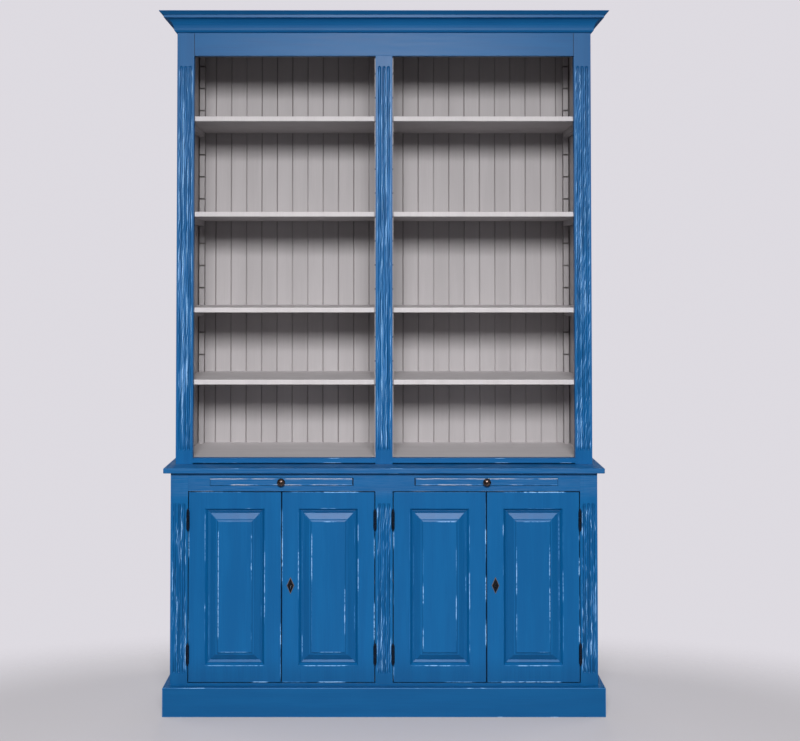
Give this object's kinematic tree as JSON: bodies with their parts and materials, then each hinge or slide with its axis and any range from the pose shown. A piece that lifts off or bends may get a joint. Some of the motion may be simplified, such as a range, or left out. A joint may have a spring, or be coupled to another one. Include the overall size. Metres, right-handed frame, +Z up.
{
  "type": "bookcase with cabinet doors",
  "caption": "Tall painted bookcase on a cupboard: open bays of adjustable shelves between fluted stiles, a cornice, raised-panel doors and pull-out boards below.",
  "frame": {"origin": "on the floor, at the bottom centre of the bounding box", "axes": "+Z up; the front with the doors faces -Y; +X to the right as seen from the front"},
  "size_m": [1.422, 0.43, 2.2],
  "materials": {
    "blue_paint": "satin blue paint on pine, rubbed through to a pale undercoat along edges and flutes",
    "grey_paint": "matt light warm grey paint",
    "bare_pine": "bare planed pine",
    "black_iron": "blackened iron, half matt",
    "dark_bronze": "dark oil-rubbed bronze",
    "lock_steel": "plain steel"
  },
  "bodies": {
    "cabinet": {"base_back_boards": "grey_paint", "base_bottom_rail": "blue_paint", "base_floor": "grey_paint", "base_partition": "grey_paint", "base_shelf_bearers": "grey_paint", "base_shelves": "grey_paint", "base_side_left": "blue_paint", "base_side_right": "blue_paint", "base_stile_centre": "blue_paint", "base_stile_left": "blue_paint", "base_stile_right": "blue_paint", "base_top": "blue_paint", "base_top_rail": "blue_paint", "cornice": "blue_paint", "door_stops": "bare_pine", "hinge_frame_leaves": "black_iron", "hinge_pins": "black_iron", "plinth": "blue_paint", "shelf_bearers": "grey_paint", "shelf_racks": "grey_paint", "shelves_left": "grey_paint", "shelves_right": "grey_paint", "slide_runners": "bare_pine", "upper_back_boards": "grey_paint", "upper_bottom_rails": "blue_paint", "upper_floor": "grey_paint", "upper_frieze": "blue_paint", "upper_partition": "grey_paint", "upper_roof": "grey_paint", "upper_side_left": "blue_paint", "upper_side_right": "blue_paint", "upper_stile_centre": "blue_paint", "upper_stile_left": "blue_paint", "upper_stile_right": "blue_paint"},
    "door_1": {"door_1_foot_guide": "black_iron", "door_1_frame": "blue_paint", "door_1_hinge_leaves": "black_iron", "door_1_panel": "blue_paint"},
    "door_2": {"door_2_escutcheon": "black_iron", "door_2_frame": "blue_paint", "door_2_hinge_leaves": "black_iron", "door_2_lock_case": "lock_steel", "door_2_panel": "blue_paint"},
    "door_3": {"door_3_foot_guide": "black_iron", "door_3_frame": "blue_paint", "door_3_hinge_leaves": "black_iron", "door_3_panel": "blue_paint"},
    "door_4": {"door_4_escutcheon": "black_iron", "door_4_frame": "blue_paint", "door_4_hinge_leaves": "black_iron", "door_4_lock_case": "lock_steel", "door_4_panel": "blue_paint"},
    "door_1_foot_bolt": {"door_1_foot_bolt": "black_iron"},
    "door_2_lock_bolt": {"door_2_lock_bolt": "lock_steel"},
    "door_3_foot_bolt": {"door_3_foot_bolt": "black_iron"},
    "door_4_lock_bolt": {"door_4_lock_bolt": "lock_steel"},
    "pull_out_left": {"slide_board_left": "blue_paint", "slide_knob_left": "dark_bronze"},
    "pull_out_right": {"slide_board_right": "blue_paint", "slide_knob_right": "dark_bronze"}
  },
  "joints": [
    {"name": "door_1_swing", "type": "hinge", "parent": "cabinet", "child": "door_1", "pos_m": [-0.61, -0.20035, 0.3935], "axis": [0, 0, -1], "range_deg": [0, 170]},
    {"name": "door_2_swing", "type": "hinge", "parent": "cabinet", "child": "door_2", "pos_m": [-0.028, -0.20035, 0.3935], "axis": [0, 0, 1], "range_deg": [0, 95]},
    {"name": "door_3_swing", "type": "hinge", "parent": "cabinet", "child": "door_3", "pos_m": [0.028, -0.20035, 0.3935], "axis": [0, 0, -1], "range_deg": [0, 95]},
    {"name": "door_4_swing", "type": "hinge", "parent": "cabinet", "child": "door_4", "pos_m": [0.61, -0.20035, 0.3935], "axis": [0, 0, 1], "range_deg": [0, 170]},
    {"name": "pull_out_left_slide", "type": "slide", "parent": "cabinet", "child": "pull_out_left", "axis": [0, -1, 0], "range_m": [0, 0.26]},
    {"name": "pull_out_right_slide", "type": "slide", "parent": "cabinet", "child": "pull_out_right", "axis": [0, -1, 0], "range_m": [0, 0.26]},
    {"name": "door_2_lock_bolt_throw", "type": "slide", "parent": "door_2", "child": "door_2_lock_bolt", "axis": [-1, 0, 0], "range_m": [0, 0.009]},
    {"name": "door_4_lock_bolt_throw", "type": "slide", "parent": "door_4", "child": "door_4_lock_bolt", "axis": [-1, 0, 0], "range_m": [0, 0.009]},
    {"name": "door_1_foot_bolt_drop", "type": "slide", "parent": "door_1", "child": "door_1_foot_bolt", "axis": [0, 0, -1], "range_m": [0, 0.012]},
    {"name": "door_3_foot_bolt_drop", "type": "slide", "parent": "door_3", "child": "door_3_foot_bolt", "axis": [0, 0, -1], "range_m": [0, 0.012]}
  ]
}
